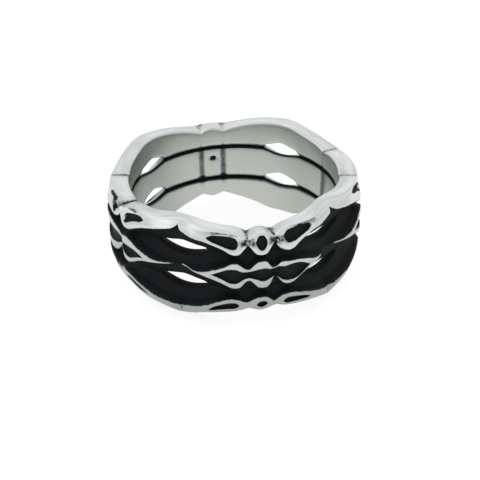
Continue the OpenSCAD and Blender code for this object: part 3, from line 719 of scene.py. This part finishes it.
# The slots are pierced through the blackened channels into the grooves of the finger hole:
# both floors are taken out between a slot's ends, and a wall joins the two edges. These are the
# section's corners where the floors of groove and channel start, of the lower and upper slots.
SLOTS = [(2, 33), (10, 23)]


def point(i, corner, after):
    """Number of the mesh's point at section i, before or after a corner of the profile."""
    return (i % around) * across + across - 1 - (2 * corner + after)


is_open = [s >= SLOT_END[kind] - 1e-6 for _, s, kind, _ in sections]
for groove_corner, channel_corner in SLOTS:
    for first in range(around):
        if not is_open[first] or is_open[first - 1]:
            continue
        length = 0
        while is_open[(first + length) % around]:
            length += 1
        span = range(first, first + length)
        floors = set()
        for corner in (groove_corner, channel_corner):
            rows = [[point(i, corner, 1) for i in span], [point(i, corner + 1, 0) for i in span]]
            for n in range(length - 1):
                floors.add(frozenset((rows[0][n], rows[0][n + 1], rows[1][n], rows[1][n + 1])))
        for item in (*ring.data.polygons, *ring.data.edges, *ring.data.vertices):
            item.select = False
        for face in ring.data.polygons:
            face.select = frozenset(face.vertices) in floors
        bpy.ops.object.mode_set(mode="EDIT")
        bpy.ops.mesh.select_mode(type="FACE")
        bpy.ops.mesh.delete(type="FACE")
        bpy.ops.mesh.select_mode(type="EDGE")
        bpy.ops.mesh.select_non_manifold(extend=False)
        bpy.ops.mesh.bridge_edge_loops(number_cuts=2)
        bpy.ops.object.mode_set(mode="OBJECT")
        new_points = len(ring.data.vertices) - len(tarnish_and_painted_shade)
        tarnish_and_painted_shade += [sections[first][3]["soot"]] * new_points
        dull += [0] * new_points
        strand += [0] * new_points

bpy.ops.object.mode_set(mode="EDIT")
bpy.ops.mesh.select_all(action="SELECT")
bpy.ops.mesh.normals_make_consistent(inside=False)
bpy.ops.object.mode_set(mode="OBJECT")

for name, values in (("tarnish_and_painted_shade", tarnish_and_painted_shade), ("dull", dull), ("strand", strand)):
    ring.data.attributes.new(name, "FLOAT", "POINT").data.foreach_set("value", values)

bpy.ops.object.shade_smooth()
smooth = ring.modifiers.new("smooth", "SUBSURF")
smooth.levels = smooth.render_levels = 1
bpy.ops.object.modifier_apply(modifier=smooth.name)


# The finish: polished silver outside, satin silver in the finger hole, and black sulphide left
# in the channels, pits and grooves after the high places were polished bright again.
class Value:
    """A value that varies over a surface. Arithmetic on it adds Math nodes to its material."""

    def __init__(self, tree, socket=None):
        self.tree = tree
        self.socket = socket

    def node(self, kind, inputs, output=0, **settings):
        """The output of a new node, with its settings made first and its inputs given next."""
        made = self.tree.nodes.new(kind)
        for name, setting in settings.items():
            setattr(made, name, setting)
        for name, value in inputs.items():
            if isinstance(value, Value):
                self.tree.links.new(value.socket, made.inputs[name])
            else:
                made.inputs[name].default_value = value
        return Value(self.tree, made.outputs[output])

    def __add__(self, other):
        return self.node("ShaderNodeMath", {0: self, 1: other}, operation="ADD")

    def __mul__(self, other):
        return self.node("ShaderNodeMath", {0: self, 1: other}, operation="MULTIPLY")

    def __sub__(self, other):
        return self.node("ShaderNodeMath", {0: self, 1: other}, operation="SUBTRACT")

    def __rsub__(self, other):
        return self.node("ShaderNodeMath", {0: other, 1: self}, operation="SUBTRACT")

    __radd__ = __add__
    __rmul__ = __mul__

    def ramp(self, low, high):
        """0 up to low, 1 from high on, and a soft step between them."""
        return self.node(
            "ShaderNodeMapRange", {"Value": self, "From Min": low, "From Max": high},
            interpolation_type="SMOOTHSTEP",
        )

    def blend(self, first, second):
        """A colour between two colours, by this value."""
        return self.node(
            "ShaderNodeMix", {0: self, 6: first, 7: second}, output=2, data_type="RGBA"
        )


silver = bpy.data.materials.new("oxidised_silver")
silver.use_nodes = True
nodes = silver.node_tree.nodes
surface = Value(silver.node_tree)
place = surface.node("ShaderNodeTexCoord", {}, output="Object")
east, north, height = (
    surface.node("ShaderNodeSeparateXYZ", {0: place}, output=k) for k in range(3)
)
dark, dull, strand = (
    surface.node("ShaderNodeAttribute", {}, output="Fac", attribute_name=name)
    for name in ("tarnish_and_painted_shade", "dull", "strand")
)


def noise(scale, detail=2):
    """Even noise from 0 to 1 with a given number of grains in a metre."""
    return surface.node(
        "ShaderNodeTexNoise", {"Vector": place, "Scale": scale, "Detail": detail}, output=0
    )


fine, broad = noise(4000, 3), noise(900)
# Polishing streaks that follow the rows, painted brighter and darker as streaky highlights: long
# grains round the ring, thin across it
ROUND_GRAIN = 250
ACROSS_GRAIN = 110
along_rows = surface.node(
    "ShaderNodeCombineXYZ",
    {0: east * ROUND_GRAIN, 1: north * ROUND_GRAIN, 2: strand * ACROSS_GRAIN},
)
streaks_and_painted_highlights = surface.node(
    "ShaderNodeTexNoise", {"Vector": along_rows, "Scale": 1, "Detail": 3}, output=0
)

BLACK_DEEP = (0.003, 0.004, 0.006, 1)
BLACK_RUBBED = (0.011, 0.012, 0.012, 1)
GREY_TARNISH = (0.08, 0.095, 0.11, 1)
# Satin colours of the finger hole, with painted shade low and on the left and painted light at the
# top and back
SATIN_LEFT_PAINTED_SHADE = (0.33, 0.355, 0.32, 1)
SATIN_LOW_PAINTED_SHADE = (0.44, 0.475, 0.43, 1)
SATIN_BACK_PAINTED_LIGHT = (0.515, 0.55, 0.505, 1)
SATIN_TOP_PAINTED_LIGHT = (0.53, 0.57, 0.52, 1)
# Polish colour with painted shade, for low on the outside
POLISH_LOW_PAINTED_SHADE = (0.30, 0.33, 0.295, 1)
# Polish colours of the streaks, whose bright end is a painted highlight
POLISH_STREAK = (0.55, 0.58, 0.575, 1)
POLISH_HIGH = (0.72, 0.745, 0.74, 1)

# The black and the grey round it have a ragged edge, which noise makes
edge = dark + (fine - 0.5) * (0.2 + dark * 1.4) * (1 - dull * 0.8) + (broad - 0.5) * 0.2
black = edge.ramp(0.42, 0.62)
halo = edge.ramp(0.12, 0.5)
# The satin has painted light and shade: it is painted a little brighter at the top and the back,
# and darker low down and on the left, for how light falls in the finger hole
satin = height.ramp(6.6 * MM, 8.4 * MM).blend(SATIN_LOW_PAINTED_SHADE, SATIN_TOP_PAINTED_LIGHT)
satin = north.ramp(6.5 * MM, 9.4 * MM).blend(satin, SATIN_BACK_PAINTED_LIGHT)
satin = east.ramp(-9.6 * MM, -4.5 * MM).blend(SATIN_LEFT_PAINTED_SHADE, satin)
# Painted shade: the polish is brightest on the top and painted darker low on the outside, where it
# reflects the shaded floor
high = streaks_and_painted_highlights.ramp(0.25, 0.75).blend(POLISH_STREAK, POLISH_HIGH)
bright = height.ramp(-0.5 * MM, 10 * MM).blend(POLISH_LOW_PAINTED_SHADE, high)
silver_colour = dull.blend(bright, satin)
metal = (halo * (0.7 + dull * 0.2)).blend(silver_colour, GREY_TARNISH)
oxide = broad.blend(BLACK_DEEP, BLACK_RUBBED)
colour = black.blend(metal, oxide)
roughness = 0.30 + broad * 0.1 + black * 0.2
bump = surface.node(
    "ShaderNodeBump", {"Height": fine * black * 0.6 + broad, "Strength": 0.12, "Distance": 0.00003}
)
shader = nodes["Principled BSDF"]
shader.inputs["Specular IOR Level"].default_value = 0.1
for name, value in (
    ("Base Color", colour), ("Roughness", roughness), ("Metallic", 1 - black), ("Normal", bump)
):
    silver.node_tree.links.new(value.socket, shader.inputs[name])

ring.data.materials.clear()
ring.data.materials.append(silver)
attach(ring, "root")
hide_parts("ring_band")
